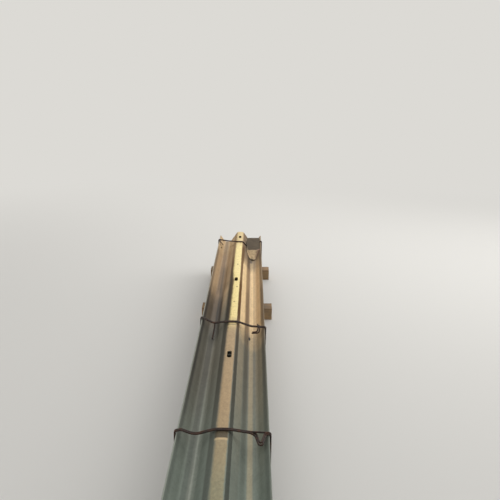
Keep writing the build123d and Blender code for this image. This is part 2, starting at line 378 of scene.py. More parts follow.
def zinc(graph, place, tint):
    """Hot-dip zinc: spangle, roll streaks, dirt and rubbed places, with painted warm light, shade and
    highlights.

    "across" is the distance from a rail's middle along its sheet, so that bands keep to the crest, the
    flanks and the grooves. "batch" is a rail's own number, and "outermost" is 1 on the top rail. Bands are
    (middle, half width, fade) in metres, across the sheet or along the rail.
    """
    x, y, z = place.split()
    across, batch, outermost = (graph.attribute(name) for name in ("across", "batch", "outermost"))
    offset = batch * 31.0

    def drawn_out(wide, long, detail, rough):
        return graph.noise(graph.vector(across * wide, y * long, offset), 1.0, detail, rough)

    def spot(sideways, along, wide, long):
        u, v = (across - sideways) / wide, (y - along) / long
        return 1 - (u * u + v * v).step(0.1, 1.0)

    streaks = drawn_out(90, 0.55, 3.0, 0.62)
    fine_streaks = drawn_out(420, 1.3, 2.0, 0.6)
    scratches = drawn_out(9, 150, 3.0, 0.7)
    clouds = graph.noise(place, 5.0, 4.0, 0.6)
    blotches = graph.noise(place, 26.0, 4.0, 0.65)
    mottle = graph.noise(graph.vector(x * 1.6, y * 0.8, z * 1.6), 75.0, 3.0, 0.65)
    grains = graph.noise(place, 240.0, 2.0, 0.6)
    spangle, _, _ = graph.node("ShaderNodeTexVoronoi", {"Vector": place, "Scale": 110.0}, output=1).split()
    line = uneven(across, (graph.noise(graph.vector(0.5, y * 1.7, offset)), 0.006))
    band = line.band

    ragged = (clouds - 0.5) * 0.3 + (streaks - 0.5) * 0.12
    frayed = y + ragged
    middle = frayed.step(-0.86, 0.08)
    past_middle = y.step(0.2, 0.5)
    half_way = y.band(0.7, 0.2, 0.15)
    around_half = y.band(0.7, 0.25, 0.25)
    past_half = y.band(1.2, 0.2, 0.15)
    last = y.step(1.35, 1.6)
    # Band of painted shade on the right side, nearer than the card
    soiled = y.band(1.6, 0.13, 0.12)
    far_end = y.step(1.70, 1.90)
    right_side = across.step(-0.035, 0.015)
    outer_left = across.step(-0.092, -0.116)
    # Painted warm light over the far half, reaching nearer on the right and on the top rail; it also makes
    # the zinc less metallic
    late = frayed.step(0.42 + outer_left * 0.30, 1.20 - outer_left * 0.06)
    painted_warm_light = late.towards(frayed.step(0.14, 0.56), right_side) * (0.3 + outermost * 0.7)
    between = middle * (1 - painted_warm_light)

    # Painted light on the right inner flank, which faces the light
    flank = band(0.060, 0.014, 0.012) * (painted_warm_light * 0.85 + middle * 0.1 + 0.03) * (1 - last)
    # Painted light on the right outer flank and over the far end, most on the right lip
    lit_outer_and_far_end = (band(0.170, 0.016, 0.012) * (middle * 0.12 + painted_warm_light * 0.14)
             + far_end * (0.34 - right_side * 0.2 + line.step(0.184, 0.200) * 0.6))
    # Painted highlight along the right groove, where its bend reflects the light
    groove = (band(0.128, 0.005, 0.008) * (0.35 + streaks * 0.6) * (0.36 + painted_warm_light * 0.84)
              + band(0.143, 0.007, 0.006) * painted_warm_light * 0.35 * (1 - last))
    # Painted highlight along the left groove, in the pale edge colour
    groove_left = (band(-0.126, 0.003, 0.008) * (1 - middle * 0.95) * 0.7
                   + band(-0.113, 0.008, 0.008) * (1 - middle) * 0.35)
    # Browner, darker left groove towards the far end
    browner_left_groove = band(-0.136, 0.015, 0.012) * y.step(0.5, 1.0) * (0.34 - last * 0.2)
    browner_groove_line = band(-0.139, 0.006, 0.006) * (y.step(0.95, 1.1) * 0.22 + y.step(1.4, 1.5) * 0.12)
    # Painted shade over the right side towards the far end
    stain = line.step(0.022, 0.034) * (y + (clouds - 0.5) * 0.4).step(1.35, 1.75)
    steel = graph.coats(
        tint.zinc_near,
        (middle, tint.zinc_middle),
        (y.step(0.35, 0.6) * (0.1 + outer_left * 0.4), tint.brown_grime),
        (painted_warm_light, tint.zinc_far),
        (flank * (0.64 + streaks * 0.6), tint.lit),
        (lit_outer_and_far_end * outermost, tint.lit),
        (groove, tint.lit),
        (groove_left, tint.edge),
        (browner_left_groove * outermost, tint.brown_grime),
        (browner_groove_line * outermost, tint.brown_grime),
        (stain * (0.6 + blotches * 0.5), tint.stain))

    # Painted shade and light across the waves: each band darkens the zinc, and the bands with negative
    # strength lighten it
    painted_shading = sum((
        band(-0.138, 0.008, 0.009) * (0.30 + between * 0.20 - last * 0.1 - half_way * 0.34),
        band(-0.060, 0.030, 0.015) * (0.06 + past_half * 0.12),
        line.step(-0.188, -0.204) * (0.3 + middle * 0.25) * (1 - far_end * 0.7),
        band(-0.180, 0.022, 0.012) * between * 0.30,
        band(-0.113, 0.013, 0.011) * past_middle * (1 - last * 0.7) * (0.66 - painted_warm_light * 0.28),
        line.step(0.184, 0.202) * (0.25 + middle * 0.18 + half_way * 0.20) * (1 - far_end),
        band(0.100, 0.010, 0.008) * (0.12 + middle * 0.22 + half_way * 0.16),
        band(0.060, 0.014, 0.012) * (1 - middle) * 0.20,
        band(0.095, 0.050, 0.014) * soiled * 0.16,
        band(0.100, 0.012, 0.008) * soiled * 0.14,
        band(0.136, 0.014, 0.006) * soiled * 0.12,
        band(-0.075, 0.022, 0.012) * half_way * -0.48,
        band(0.128, 0.006, 0.006) * y.band(1.2, 0.2, 0.12) * -0.10,
        line.step(0.180, 0.192) * y.step(1.62, 1.75) * -0.45))
    tone = uneven(0.93, (streaks, 0.30), (fine_streaks, 0.16), (spangle, 0.09), (grains, 0.12),
                  (scratches, 0.18), (blotches, 0.16), (mottle, 0.18))
    steel = graph.toned(steel, tone * (0.93 + batch * 0.12) * (1 - painted_shading))

    # Painted shade on both sides of the crest, where the flanks turn from the light; it also roughens them
    right_crest_shade = (line - y.step(0.9, 1.7) * 0.003).band(
        0.0305, 0.0065 + half_way * 0.0015, 0.005 + y.step(1.3, 1.5) * 0.012)
    right_crest_shade *= (0.70 + middle * 0.04 + painted_warm_light * 0.08 + half_way * 0.16) * (1 - far_end * 0.75)
    left_crest_shade = (line - around_half * 0.0145 - past_half * 0.005).band(
        -0.0365, 0.0105, 0.011 + around_half * 0.026)
    left_crest_shade *= ((0.46 + middle * 0.20 + past_middle * 0.22)
                   * (1 - y.step(0.9, 1.25) * 0.10 - y.step(1.3, 1.6) * 0.36))
    beside = (right_crest_shade + left_crest_shade) * (0.75 + streaks * 0.45)
    browned = y.step(1.0, 1.5).towards(y.step(-0.1, 0.8), right_side)

    # The crest band: rubbed zinc with a painted highlight along it
    worn = graph.coats(
        tint.crest_near,
        (frayed.step(-1.0, -0.35), tint.crest_middle),
        ((y + ragged * 0.6).step(0.2, 0.5), tint.crest_far),
        ((y + ragged * 0.4).step(1.70, 1.86) * 0.5, tint.zinc_far))
    worn = graph.toned(worn, uneven(0.93, (mottle, 0.55), (grains, 0.3), (blotches, 0.2),
                                    (fine_streaks, 0.14), (scratches, 0.3)))
    wavy = uneven(line - painted_warm_light * 0.002, (streaks, 0.004), (mottle, 0.008))
    crest = ((wavy - around_half * 0.006 + y.step(0.9, 1.2) * 0.004).step(-0.026, -0.0125)
             * (1 - wavy.step(0.0155, 0.0215)))

    cells = graph.vector(across, y * 0.6, batch)
    specks = graph.node("ShaderNodeTexVoronoi", {"Vector": cells, "Scale": 13.0})
    dark_spots = spot(*FAR_SPOT) * 0.75 + spot(*MARK) * 1.2
    # Painted shadows of the two middle ties on the crest, just nearer than each tie
    tie_shadow = y.band(-0.590, 0.017, 0.007) * 1.1 + y.band(0.322, 0.003, 0.006) * 0.7
    top_strip = band(-0.002, 0.018, 0.006) * outermost
    _, facing_along, _ = graph.node("ShaderNodeNewGeometry", output=3).split()
    # Cut ends of the sheet in pale steel; the pale line along the lips' edges is partly a painted highlight
    sheared = abs(facing_along).step(0.6, 0.8) * 0.9 + abs(across).step(0.2115, 0.2140) * 0.35
    cut = graph.toned(graph.mix(painted_warm_light, tint.edge, tint.edge_far), uneven(0.85, (grains, 0.5), (streaks, 0.5)))
    steel = graph.coats(
        steel,
        (beside, graph.mix(browned, tint.grime, tint.brown_grime)),
        (crest * outermost * (0.85 + streaks * 0.3), worn),
        ((1 - specks.step(0.03, 0.09)) * 0.55, tint.grime),
        (sum(spot(*dot) for dot in DOTS) * 0.6 * outermost, tint.brown_grime),
        (dark_spots * (0.6 + blotches * 0.6) * outermost, tint.drip),
        # Painted shadow of the ties on the top rail's crest, and a thin painted highlight where the near one
        # ends
        (top_strip * tie_shadow * (0.45 + scratches * 0.5), tint.grime),
        (top_strip * y.band(-0.617, 0.001, 0.009) * (0.1 + grains * 0.4), tint.lit),
        # Painted highlight along the left lip's edge
        (line.step(-0.2110, -0.2135) * 0.5 * outermost, tint.edge),
        (sheared, cut))
    return graph.surface(steel, 0.50 + streaks * 0.14 + grains * 0.1 + beside * 0.35, **{
        "Metallic": 0.16 - painted_warm_light * 0.12, "Specular IOR Level": 0.18,
        "Normal": graph.bump(fine_streaks + spangle * 0.5 + grains * 0.4, 0.25, 0.0006)})


def rusty_wire(graph, place, tint):
    """Black annealed wire gone rusty."""
    patches = graph.noise(place, 60.0, 4.0, 0.65)
    pits = graph.noise(place, 900.0, 2.0, 0.6)
    rust = graph.coats(
        tint.old_rust,
        (patches.step(0.42, 0.68), tint.rust),
        (pits.step(0.35, 0.65) * 0.4, tint.pits))
    return graph.surface(rust, 0.62 + patches * 0.25, Metallic=0.1,
                         Normal=graph.bump(pits + patches, 0.5, 0.0006))


def sawn_softwood(graph, place, tint):
    """Rough-sawn softwood, gone grey and dirty."""
    x, y, z = place.split()
    grain = graph.noise(graph.vector(x * 3.0, y * 55, z * 55), 1.0, 4.0, 0.6)
    bend = graph.noise(graph.vector(x * 2.0, y * 6, z * 6)) * 0.02
    around_pith = graph.vector(x * 0.2, y + bend, z + 0.06 + bend)
    rings = graph.node("ShaderNodeTexWave", {"Vector": around_pith, "Scale": 34.0, "Distortion": 1.6},
                       wave_type="RINGS")
    askew = graph.vector(x + y * 0.12, y, z)
    saw = graph.node("ShaderNodeTexWave", {"Vector": askew, "Scale": 36.0, "Distortion": 2.0})
    weather = graph.noise(place, 9.0, 4.0, 0.6)
    wood = graph.coats(
        tint.timber,
        (rings.step(0.2, 0.9) * 0.55, tint.late_wood),
        (grain.step(0.4, 0.7) * 0.5, tint.pale_grain),
        (weather.step(0.4, 0.7) * 0.7, tint.grey_timber))
    return graph.surface(wood, 0.85, Normal=graph.bump(grain + saw * 0.5 + rings * 0.4, 0.5, 0.0012))


def fibre_card(graph, place, tint):
    """Dull fibre card, rubbed and speckled, with pale edges and a peeled, soiled flap with painted shade at
    its tip.
    """
    peeled, side = graph.attribute("peeled"), graph.attribute("side")
    cloud = graph.noise(place, 22.0, 4.0, 0.6)
    fibres = graph.noise(place, 75.0, 3.0, 0.7)
    specks = graph.noise(place, 260.0)
    rim = side.step(-0.90, -0.97) * (peeled + cloud).step(0.5, 0.9)
    tip = peeled - abs(side + 0.2) * 0.5 + (cloud - 0.5) * 0.5
    soiled = graph.coats(
        tint.card_inside,
        ((side + fibres * 0.7).step(0.55, 1.15), tint.card_stain),
        (fibres.step(0.4, 0.7) * 0.5, tint.card_stain),
        # Painted shade and soil at the flap's tip
        (tip.step(1.35, 1.75) * 0.9, tint.card_tip))
    corner = (side - 0.45) * 0.75
    start = peeled + corner.math("MAXIMUM", corner, 0.0) + (fibres - 0.5) * 0.3
    face = graph.coats(
        tint.card,
        (cloud.step(0.42, 0.72) * 0.5, tint.card_wear),
        (specks.step(0.62, 0.72) * 0.6, tint.card_specks),
        (rim * 0.7, tint.card_inside),
        (start.step(0.94, 1.03), soiled))
    return graph.surface(face, 0.85, **{
        "Specular IOR Level": 0.15, "Normal": graph.bump(cloud + specks * 0.3 + fibres * 0.4, 0.3, 0.0008)})


def pale_floor(graph, place, _):
    """Matt floor; away from the object the camera sees its plain colour."""
    near, far = 1.2, 7.0
    colour = settings().stage.floor
    away = graph.node("ShaderNodeVectorMath", {0: place}, output=1, operation="LENGTH")
    plain = graph.node("ShaderNodeEmission", {"Color": colour, "Strength": 1.0})
    return graph.backed(graph.surface(colour, 0.9), plain, away.step(near, far))


def link(name, data):
    made = bpy.data.objects.new(name, data)
    bpy.context.scene.collection.objects.link(made)
    return made


def new_mesh(name, points, edges, faces, **marks):
    """A mesh with a number on each point for each mark."""
    mesh = bpy.data.meshes.new(name)
    mesh.from_pydata(points, edges, faces)
    for label, values in marks.items():
        mesh.attributes.new(label, "FLOAT", "POINT").data.foreach_set("value", values)
    return mesh


class Points:
    """Points of a mesh, each made once and known by its key."""

    def __init__(self):
        self.places = []
        self.known = {}

    def at(self, key, place):
        if key not in self.known:
            self.known[key] = len(self.places)
            self.places.append(place)
        return self.known[key]


def line_mesh(name, lines):
    """Open lines of (point, bend radius) as edges, with the attributes "bend" and "line", its number."""
    points, edges, bends, numbers = [], [], [], []
    for number, line in enumerate(lines):
        edges += [(i, i + 1) for i in range(len(points), len(points) + len(line) - 1)]
        points += [point for point, _ in line]
        bends += [bend for _, bend in line]
        numbers += [number] * len(line)
    return new_mesh(name, points, edges, [], bend=bends, line=numbers)


def geometry_tree(name, numbers, **others):
    """An empty geometry tree with inputs for a geometry, numbers, others and a material."""
    tree = bpy.data.node_groups.new(name, "GeometryNodeTree")
    kinds = {"Geometry": "Geometry", **dict.fromkeys(numbers, "Float"), **others, "Material": "Material"}
    for label, kind in kinds.items():
        tree.interface.new_socket(label, in_out="INPUT", socket_type=f"NodeSocket{kind}")
    tree.interface.new_socket("Geometry", in_out="OUTPUT", socket_type="NodeSocketGeometry")
    graph = Graph(tree)
    return graph, graph.node("NodeGroupInput")


def close_tree(graph, given, geometry):
    """Ends a tree: instances are realized and the material is set."""
    real = graph.node("GeometryNodeRealizeInstances", {0: geometry})
    finished = graph.node("GeometryNodeSetMaterial", {0: real, "Material": given["Material"]})
    graph.node("NodeGroupOutput", {0: finished})
    return graph.tree


def rounded_line(graph, mesh, steps):
    """A drawn line as a curve, with its bends as arcs of so many steps."""
    bare = graph.node("GeometryNodeMeshToCurve", {"Mesh": mesh})
    bends = {"Radius": graph.stored("bend"), "Count": steps, "Limit Radius": True}
    return graph.node("GeometryNodeFilletCurve", {"Curve": bare, **bends}, mode="POLY")


def grow(name, mesh, tree, values):
    """An object with the tree on it, whose inputs are set by their identifiers."""
    made = link(name, mesh)
    modifier = made.modifiers.new(tree.name, "NODES")
    modifier.node_group = tree
    known = {item.name: item.identifier for item in tree.interface.items_tree if item.in_out == "INPUT"}
    for label, value in values.items():
        modifier[known[label]] = value
    return made


def settle(made):
    """The object's evaluated shape as a plain mesh, on a new object in its place."""
    bpy.context.view_layer.update()
    depsgraph = bpy.context.evaluated_depsgraph_get()
    mesh = bpy.data.meshes.new_from_object(made.evaluated_get(depsgraph), preserve_all_data_layers=True,
                                           depsgraph=depsgraph)
    name = made.name
    mesh.name = name
    bpy.data.objects.remove(made)
    return link(name, mesh)


def seat(made, slot, node):
    """Smooths a piece and seats it on the body in its node's stead."""
    made.data.shade_smooth()
    made.data.set_sharp_from_angle(angle=math.radians(SHARP[slot]))
    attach(made, BODY)
    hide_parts(node)


def flank_slope(rails):
    return math.atan2(rails.crest_height, rails.valley_in - rails.crest_half_flat)


def section_corners(rails):
    """Corners of the right half of the section as (x, z, bend), from the crest out."""
    lip_height = (rails.lip_start - rails.valley_out) * math.tan(flank_slope(rails))
    edge_x = rails.half_width - rails.sheet / 2 * math.sin(rails.lip_rise)
    edge_height = lip_height + (edge_x - rails.lip_start) * math.tan(rails.lip_rise)
    return [
        (rails.crest_half_flat, rails.crest_height, rails.wave_radius),
        (rails.valley_in, 0.0, rails.wave_radius),
        (rails.valley_out, 0.0, rails.wave_radius),
        (rails.lip_start, lip_height, rails.lip_radius),
        (edge_x, edge_height, 0.0),
    ]


class Blank:
    """The flat sheet that a rail is rolled from: where its bends and slots lie across it."""
    # Steps of the mesh over a bend of the waves and of a lip
    WAVE_STEPS, LIP_STEPS = 6, 3
    # From the middle of a splice slot to the lines of the mesh beside it
    SLOT_REACH = 14.5 * MM

    def __init__(self, rails):
        corners = section_corners(rails)
        points = [Vector((0.0, corners[0][1]))] + [Vector((x, z)) for x, z, _ in corners]
        steps = [after - before for before, after in zip(points, points[1:])]
        turns = [abs(before.angle_signed(after)) for before, after in zip(steps, steps[1:])] + [0.0]
        lines = [0.0]
        starts = []
        place = trim = 0.0
        for step, turn, (_, _, bend) in zip(steps, turns, corners):
            starts.append(place - trim)
            place += step.length - trim
            trim = bend * math.tan(turn / 2)
            place -= trim
            count = self.WAVE_STEPS if bend > rails.lip_radius else self.LIP_STEPS
            lines += [place + bend * turn * k / count for k in range(count + 1)]
            place += bend * turn
        self.half = place
        self.inner_slot = starts[1] + steps[1].length / 2
        self.outer_slot = starts[3] + steps[3].length / 2
        self.lip = place - steps[4].length
        for slot in (self.inner_slot, self.outer_slot):
            lines += [slot - self.SLOT_REACH, slot + self.SLOT_REACH]
        self.lines = sorted({round(sign * s, 7) for s in lines for sign in (-1, 1)})


def slot_loop(middle, half_width, half_length, steps=8):
    """Points round a slot with round ends, in order."""
    loop = []
    for end in (1, -1):
        for i in range(steps + 1):
            turn = math.pi * i / steps
            x = end * math.cos(turn) * half_width
            y = end * (half_length - half_width + math.sin(turn) * half_width)
            loop.append((middle[0] + x, middle[1] + y))
    return loop


def stitch(outer, inner, points, middle):
    """Triangles between two loops around the same middle, both anticlockwise."""

    def turned(loop):
        angles = [math.atan2(points[i][1] - middle[1], points[i][0] - middle[0]) % math.tau for i in loop]
        first = angles.index(min(angles))
        order = loop[first:] + loop[:first]
        turns = angles[first:] + angles[:first]
        return order + order[:1], turns + [turns[0] + math.tau, math.inf]

    outer, outer_turns = turned(outer)
    inner, inner_turns = turned(inner)
    faces = []
    i = j = 0
    while i < len(outer) - 1 or j < len(inner) - 1:
        if outer_turns[i + 1] <= inner_turns[j + 1]:
            faces.append((outer[i], outer[i + 1], inner[j]))
            i += 1
        else:
            faces.append((outer[i], inner[j + 1], inner[j]))
            j += 1
    return faces


def blank_mesh(blank, rails, rail_length, spacing):
    """The flat slotted blank as a mesh: x across, y along, with a ring of faces round each slot."""
    half_length = rail_length / 2
    pitch = (rail_length - 2 * rails.post_slot_from_end) / (rails.post_slots - 1)
    post = rails.post_slot_width / 2, rails.post_slot_length / 2
    splice = rails.splice_slot_width / 2, rails.splice_slot_length / 2
    slots = [((0.0, rails.post_slot_from_end - half_length + pitch * i), *post)
             for i in range(rails.post_slots)]
    slots += [((side * inward, end * (half_length - from_end)), *splice)
              for side in (-1, 1) for inward in (blank.inner_slot, blank.outer_slot)
              for end in (-1, 1) for from_end in (rails.splice_near, rails.splice_far)]

    blocks = []
    for (x, y), half_width, half_slot in slots:
        reach = half_slot + 2 * rails.slot_rim
        left = max(line for line in blank.lines if line < x - half_width - rails.slot_rim)
        right = min(line for line in blank.lines if line > x + half_width + rails.slot_rim)
        blocks.append((left, right, round(y - reach, 6), round(y + reach, 6)))
    long_lines = {end for block in blocks for end in block[2:]}
    count = round(rail_length / spacing)
    for i in range(count + 1):
        y = round(i * rail_length / count - half_length, 6)
        if all(abs(y - line) > spacing / 4 for line in long_lines) or i in (0, count):
            if not any(low < y < high for _, _, low, high in blocks):
                long_lines.add(y)
    long_lines = sorted(long_lines)

    points = Points()
    faces = []

    def vertex(i, j):
        return points.at((i, j), (blank.lines[i], long_lines[j], 0.0))

    for i, (left, right) in enumerate(zip(blank.lines, blank.lines[1:])):
        for j, (low, high) in enumerate(zip(long_lines, long_lines[1:])):
            x, y = (left + right) / 2, (low + high) / 2
            if not any(x0 < x < x1 and y0 < y < y1 for x0, x1, y0, y1 in blocks):
                faces.append((vertex(i, j), vertex(i + 1, j), vertex(i + 1, j + 1), vertex(i, j + 1)))

    for (middle, half_width, half_slot), (left, right, low, high) in zip(slots, blocks):
        i0, i1 = blank.lines.index(left), blank.lines.index(right)
        j0, j1 = long_lines.index(low), long_lines.index(high)
        border = [vertex(i, j0) for i in range(i0, i1)] + [vertex(i1, j) for j in range(j0, j1)]
        border += [vertex(i, j1) for i in range(i1, i0, -1)] + [vertex(i0, j) for j in range(j1, j0, -1)]
        rings = []
        for wider in (rails.slot_rim, 0.0):
            ring = slot_loop(middle, half_width + wider, half_slot + wider)
            rings.append([points.at((middle, wider, k), (x, y, 0.0)) for k, (x, y) in enumerate(ring)])
        outer, inner = rings
        faces += stitch(border, outer, points.places, middle)
        for k in range(len(outer)):
            faces.append((outer[k - 1], outer[k], inner[k], inner[k - 1]))
    return new_mesh("rail_blank", points.places, [], faces)


def rolling_tree():
    """Rolls a flat blank to the section: each point goes where its distance across falls on the profile."""
    lip_waves, lip_reach = 2.6, 20 * MM
    graph, given = geometry_tree(
        "roll_a_rail", ("Blank half", "Lip", "Level", "Shift", "Lip wave", "Sway", "Outermost"),
        Profile="Object", Number="Int")
    drawn = graph.node("GeometryNodeObjectInfo", {"Object": given["Profile"]}, output=4)
    across, along, _ = graph.node("GeometryNodeInputPosition").split()
    profile = {"Curves": rounded_line(graph, drawn, PROFILE_STEPS), "Length": across + given["Blank half"]}
    x, _, z = graph.node("GeometryNodeSampleCurve", profile, output=1, mode="LENGTH").split()
    side = across.math("SIGN", across)
    at_lip = abs(across).step(given["Lip"] - lip_reach, given["Blank half"])
    lip_noise = graph.noise(graph.vector(side * 7.3, along * lip_waves, 0), W=given["Number"] * 3.7)
    stray = (lip_noise - 0.5) * 4 * given["Lip wave"] * at_lip
    slow = graph.noise(graph.vector(11.3, along * 0.45, 0), 1.0, 1.0) - 0.5
    slow_up = graph.noise(graph.vector(4.1, along * 0.6, 0), 1.0, 1.0) - 0.5
    moved = graph.vector(x + slow * given["Sway"] * 2, along + given["Shift"],
                         z + given["Level"] + stray + slow_up * given["Sway"])
    batch = graph.node("FunctionNodeRandomValue", {2: 0.0, 3: 1.0, "ID": 0, "Seed": given["Number"]},
                       output=1)
    rolled = given
    for name, value in (("across", across), ("batch", batch), ("outermost", given["Outermost"])):
        rolled = graph.node("GeometryNodeStoreNamedAttribute",
                            {"Geometry": rolled, "Name": name, "Value": value})
    rolled = graph.node("GeometryNodeSetPosition", {"Geometry": rolled, "Position": moved})
    return close_tree(graph, given, rolled)


def wire_tree():
    """Bends wire along drawn lines: corners are rounded, the wire strays a little and gets its thickness."""
    stray_scale, freedom, lowered = 16.0, (0.7, 1.0, 0.4), (0.0, 0.0, -0.4 * MM)
    graph, given = geometry_tree("bend_wire", ("Diameter", "Stray", "Seed", "Step"), Sides="Int")
    line = {"Curve": rounded_line(graph, given, WIRE_STEPS), "Length": given["Step"]}
    even = graph.node("GeometryNodeResampleCurve", line, mode="LENGTH")
    stray = graph.noise(graph.node("GeometryNodeInputPosition"), stray_scale, output=1,
                        W=given["Seed"] + graph.stored("line") * 7.0)
    for operation, inputs in (
            ("SUBTRACT", {1: (0.5, 0.5, 0.5)}),
            ("SCALE", {"Scale": given["Stray"] * 3}),
            ("MULTIPLY_ADD", {1: freedom, 2: lowered})):
        stray = graph.node("ShaderNodeVectorMath", {0: stray, **inputs}, operation=operation)
    strayed = graph.node("GeometryNodeSetPosition", {"Geometry": even, "Offset": stray})
    ring = graph.node("GeometryNodeCurvePrimitiveCircle",
                      {"Resolution": given["Sides"], "Radius": given["Diameter"] / 2})
    wire = graph.node("GeometryNodeCurveToMesh", {"Curve": strayed, "Profile Curve": ring, "Fill Caps": True})
    return close_tree(graph, given, wire)


# The end that each tie is measured from, and its distances from it at the left edge, at the crest, at
# the right edge and under the rails
TIE_PLACES = {
    "tie_far": (1, 0.150, 0.310, 0.180, 0.190),
    "tie_mid_far": (1, 1.690, 1.811, 1.806, 1.748),
    "tie_mid_near": (1, 2.696, 2.728, 2.704, 2.700),
    "tie_near": (-1, 0.670, 0.640, 0.656, 0.663),
}
# Height over the valleys to which each tie sags in the left and the right groove
TIE_SAGS = {
    "tie_far": (0.068, 0.068),
    "tie_mid_far": (0.050, 0.060),
    "tie_mid_near": (0.053, 0.066),
    "tie_near": (0.049, 0.049),
}
# How far over the left lip a tie springs up
TIE_SPRINGS = {"tie_mid_near": 0.008, "tie_near": 0.005}
# Reach of the V-shaped loop that a tie was tightened by
TIE_LOOPS = {"tie_mid_near": 0.076, "tie_near": 0.050}
# Loose ends of wire: (x, distance from the far end, height over the valleys, bend) along each
TIE_TAILS = {
    "tie_far": [((-0.150, 0.158, 0.057, 0.0), (-0.147, 0.190, 0.054, 0.01), (-0.124, 0.246, 0.042, 0.0))],
    "tie_mid_far": [
        ((-0.087, 1.752, 0.054, 0.0), (-0.087, 1.775, 0.040, 0.02), (-0.092, 1.850, 0.010, 0.0)),
        ((0.128, 1.812, 0.066, 0.0), (0.132, 1.828, 0.060, 0.010), (0.128, 1.852, 0.045, 0.012),
         (0.093, 1.852, 0.042, 0.0)),
        ((0.121, 1.806, 0.069, 0.0), (0.125, 1.822, 0.063, 0.010), (0.121, 1.846, 0.048, 0.012),
         (0.096, 1.846, 0.045, 0.0)),
    ],
    "tie_mid_near": [
        ((0.102, 2.707, 0.061, 0.0), (0.1135, 2.712, 0.056, 0.006), (0.126, 2.774, 0.052, 0.005),
         (0.1385, 2.712, 0.056, 0.006), (0.147, 2.705, 0.060, 0.0)),
    ],
}


def tie_strand(name, shift, reach, top, far_end, under_z):
    """One strand of a tie as (point, bend), from under the bundle up, over the rails and back under."""
    ties, rails = settings().ties, settings().rails
    end, *from_end = TIE_PLACES[name]
    left_y, crest_y, right_y, under_y = [end * (far_end - place) + shift for place in from_end]
    *_, (_, lip_height, _), (_, edge_height, _) = section_corners(rails)
    flank = flank_slope(rails)
    clear = ties.wire / 2 + ties.gap
    side = rails.half_width + ties.edge_gap + ties.wire / 2
    lip_top = top + edge_height + rails.sheet / 2 + ties.edge_gap + ties.wire / 2
    crest_x = rails.crest_half_flat + (rails.sheet / 2 + clear) * math.tan(flank / 2)
    crest_z = top + rails.crest_height + rails.sheet / 2 + clear

    def on_top(x, z, edge_y):
        askew = max(abs(x) - crest_x, 0) / (rails.half_width - crest_x)
        return Vector((x, crest_y + (edge_y - crest_y) * askew, z))

    low = [(ties.gap, under_z - clear, 0.0), (rails.valley_out + clear, under_z - clear, ties.under_bend),
           (side, under_z + rails.sheet / 2 + lip_height - ties.wire, ties.edge_bend)]
    left, right = ([(side, lip_top, ties.edge_bend), (ties.sag_place, top + sag, ties.sag_bend),
                    (crest_x, crest_z, ties.crest_bend)] for sag in TIE_SAGS[name])
    if name == "tie_far":
        pressed_x = crest_x + ties.pressed_drop / math.tan(flank)
        right[1] = (pressed_x, crest_z - ties.pressed_drop, ties.pressed_bend)
    if name in TIE_SPRINGS:
        left.insert(1, (side - ties.spring_in, lip_top + TIE_SPRINGS[name], ties.spring_bend))
    right = [(on_top(x, z, right_y), bend) for x, z, bend in right]
    left = [(on_top(-x, z, left_y), bend) for x, z, bend in reversed(left)]
    if reach:
        outer, tip, inner = (
            on_top(ties.loop_place + out * ties.loop_half_width, top + ties.loop_height, right_y)
            for out in (1, 0, -1))
        tip -= Vector((0, reach, ties.loop_drop))
        right[1:1] = [(point, ties.loop_bend) for point in (outer, tip, inner)]
    under_right, under_left = (
        [(Vector((sign * x, under_y, z)), bend) for x, z, bend in low] for sign in (1, -1))
    return under_right + right + left + under_left[::-1]


class BUNDLE_OT_rails(bpy.types.Operator):
    """Roll the nested rails from flat slotted blanks"""
    bl_idname = "bundle.rails"
    bl_label = "Roll the rails"
    # Spacing of the mesh along the top rail and along the rails under it
    FINE, COARSE = 60 * MM, 180 * MM

    def execute(self, context):
        rails = settings().rails
        steel = shade("galvanised_steel", zinc)
        blank = Blank(rails)
        corners = section_corners(rails)
        line = [(Vector((-x, 0, z)), bend) for x, z, bend in reversed(corners)]
        line += [(Vector((x, 0, z)), bend) for x, z, bend in corners]
        profile = link("rail_profile", line_mesh("rail_profile", [line]))
        tree = rolling_tree()
        meshes = {}
        for number, node in enumerate(RAILS):
            low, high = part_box(node)
            spacing = self.FINE if node == TOP_RAIL else self.COARSE
            if spacing not in meshes:
                meshes[spacing] = blank_mesh(blank, rails, high.y - low.y - 2 * rails.end_gap, spacing)
            made = grow(f"{node}_rolled", meshes[spacing].copy(), tree, {
                "Profile": profile, "Blank half": blank.half, "Lip": blank.lip,
                "Level": low.z + rails.sheet / 2, "Shift": (low.y + high.y) / 2,
                "Lip wave": rails.lip_wave, "Sway": rails.sway, "Number": number,
                "Outermost": float(node == TOP_RAIL), "Material": steel})
            thick = made.modifiers.new("thickness", "SOLIDIFY")
            thick.thickness = rails.sheet
            thick.offset = 0
            seat(settle(made), "galvanised_steel", node)
        bpy.data.objects.remove(profile)
        return {"FINISHED"}


